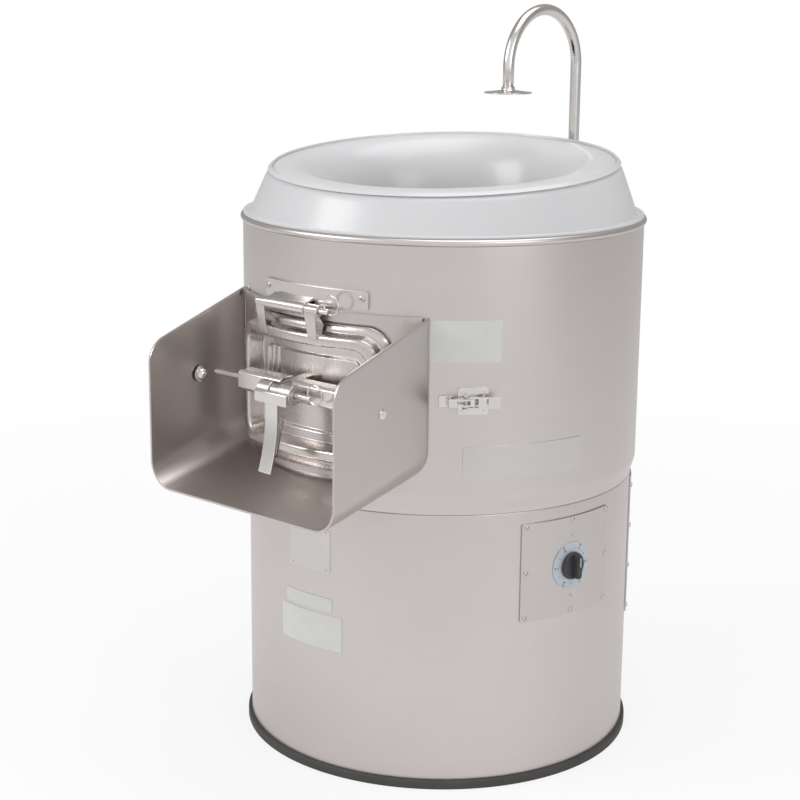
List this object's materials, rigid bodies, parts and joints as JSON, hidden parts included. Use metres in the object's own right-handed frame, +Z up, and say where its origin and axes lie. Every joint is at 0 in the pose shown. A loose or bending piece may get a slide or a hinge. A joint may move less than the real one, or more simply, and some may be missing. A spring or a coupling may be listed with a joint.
{
  "type": "electric potato peeler",
  "caption": "Floor-standing drum peeler of brushed stainless sheet with a feed collar, a lift-up discharge door over a chute, a timer and a rinse pipe.",
  "frame": {"origin": "drum axis at floor level", "axes": "+Z up along the drum axis, the discharge chute towards -Y"},
  "size_m": [0.5742, 0.7153, 1.028],
  "materials": {
    "steel": "satin brushed stainless",
    "bright": "polished stainless",
    "dull_steel": "plain sheet",
    "casting": "as cast",
    "rubber": "matte",
    "abrasive": "gritty bonded abrasive",
    "black_plastic": "matte",
    "collar_plastic": "satin light grey",
    "motor_paint": "satin paint",
    "dial_face": "printed plate"
  },
  "bodies": {
    "body": {"lower_body": "steel", "hopper_shell": "steel", "hopper_floor": "steel", "chute": "steel", "door_header": "steel", "hinge_bracket": "steel", "timer_panel": "steel", "side_panel": "steel", "toggle_base": "steel", "toggle_keeper": "steel", "pipe_clip_1": "steel", "pipe_clip_2": "steel", "strike_bolt_left": "bright", "strike_bolt_right": "bright", "strike_nut_left": "bright", "strike_nut_right": "bright", "gooseneck_pipe": "bright", "deflector_disc": "bright", "upper_bearing": "bright", "lower_bearing": "bright", "base_plate": "dull_steel", "drive_plate": "dull_steel", "peel_outlet": "dull_steel", "bearing_housing": "casting", "water_valve": "casting", "base_ring": "rubber", "shaft_seal": "rubber", "drive_belt": "rubber", "pipe_grommet": "rubber", "abrasive_liner": "abrasive", "timer_unit": "black_plastic", "valve_coil": "black_plastic", "motor": "motor_paint", "timer_dial": "dial_face"},
    "collar": {"feed_collar": "collar_plastic"},
    "disc": {"drive_shaft": "bright", "abrasive_disc": "abrasive", "disc_nut": "bright", "large_pulley": "casting"},
    "motor_rotor": {"motor_shaft": "bright", "motor_pulley": "casting"},
    "door": {"door": "steel", "door_gasket": "rubber"},
    "latch": {"latch_handle": "bright", "latch_rod_left": "bright", "latch_rod_right": "bright"},
    "hinge_pin": {"hinge_pin": "bright", "hinge_pin_ring": "bright"},
    "latch_pin": {"latch_pin": "bright", "latch_pin_ring": "bright"},
    "timer": {"timer_knob": "black_plastic", "timer_shaft": "dull_steel"},
    "toggle_lever": {"toggle_lever": "bright"},
    "toggle_hook": {"toggle_hook": "bright"}
  },
  "joints": [
    {"name": "disc_spin", "type": "hinge", "parent": "body", "child": "disc", "pos_m": [0, 0, 0.42], "axis": [0, 0, 1], "continuous": true},
    {"name": "motor_spin", "type": "hinge", "parent": "body", "child": "motor_rotor", "pos_m": [-0.155, 0, 0.2], "axis": [0, 0, 1], "continuous": true},
    {"name": "door_swing", "type": "hinge", "parent": "body", "child": "door", "pos_m": [0, -0.295, 0.648], "axis": [-1, 0, 0], "range_deg": [0, 100]},
    {"name": "latch_turn", "type": "hinge", "parent": "door", "child": "latch", "pos_m": [0, -0.325, 0.54], "axis": [-1, 0, 0], "range_deg": [0, 95]},
    {"name": "hinge_pin_pull", "type": "slide", "parent": "body", "child": "hinge_pin", "axis": [1, 0, 0], "range_m": [0, 0.075]},
    {"name": "latch_pin_pull", "type": "slide", "parent": "door", "child": "latch_pin", "axis": [1, 0, 0], "range_m": [0, 0.068]},
    {"name": "collar_lift", "type": "slide", "parent": "body", "child": "collar", "axis": [0, 0, 1], "range_m": [0, 0.08]},
    {"name": "timer_turn", "type": "hinge", "parent": "body", "child": "timer", "pos_m": [0.27608, -0.0467, 0.298], "axis": [-0.986, 0.1668, 0], "range_deg": [0, 300]},
    {"name": "toggle_turn", "type": "hinge", "parent": "body", "child": "toggle_lever", "pos_m": [0.20772, -0.19713, 0.5385], "axis": [0, 0, -1], "range_deg": [0, 110]},
    {"name": "toggle_hook_turn", "type": "hinge", "parent": "toggle_lever", "child": "toggle_hook", "pos_m": [0.21702, -0.19267, 0.5385], "axis": [0, 0, -1], "range_deg": [-110, 0]}
  ],
  "couplings": [
    {"joint": "motor_spin", "follows": "disc_spin", "ratio": 4},
    {"joint": "toggle_hook_turn", "follows": "toggle_turn", "ratio": -1}
  ]
}
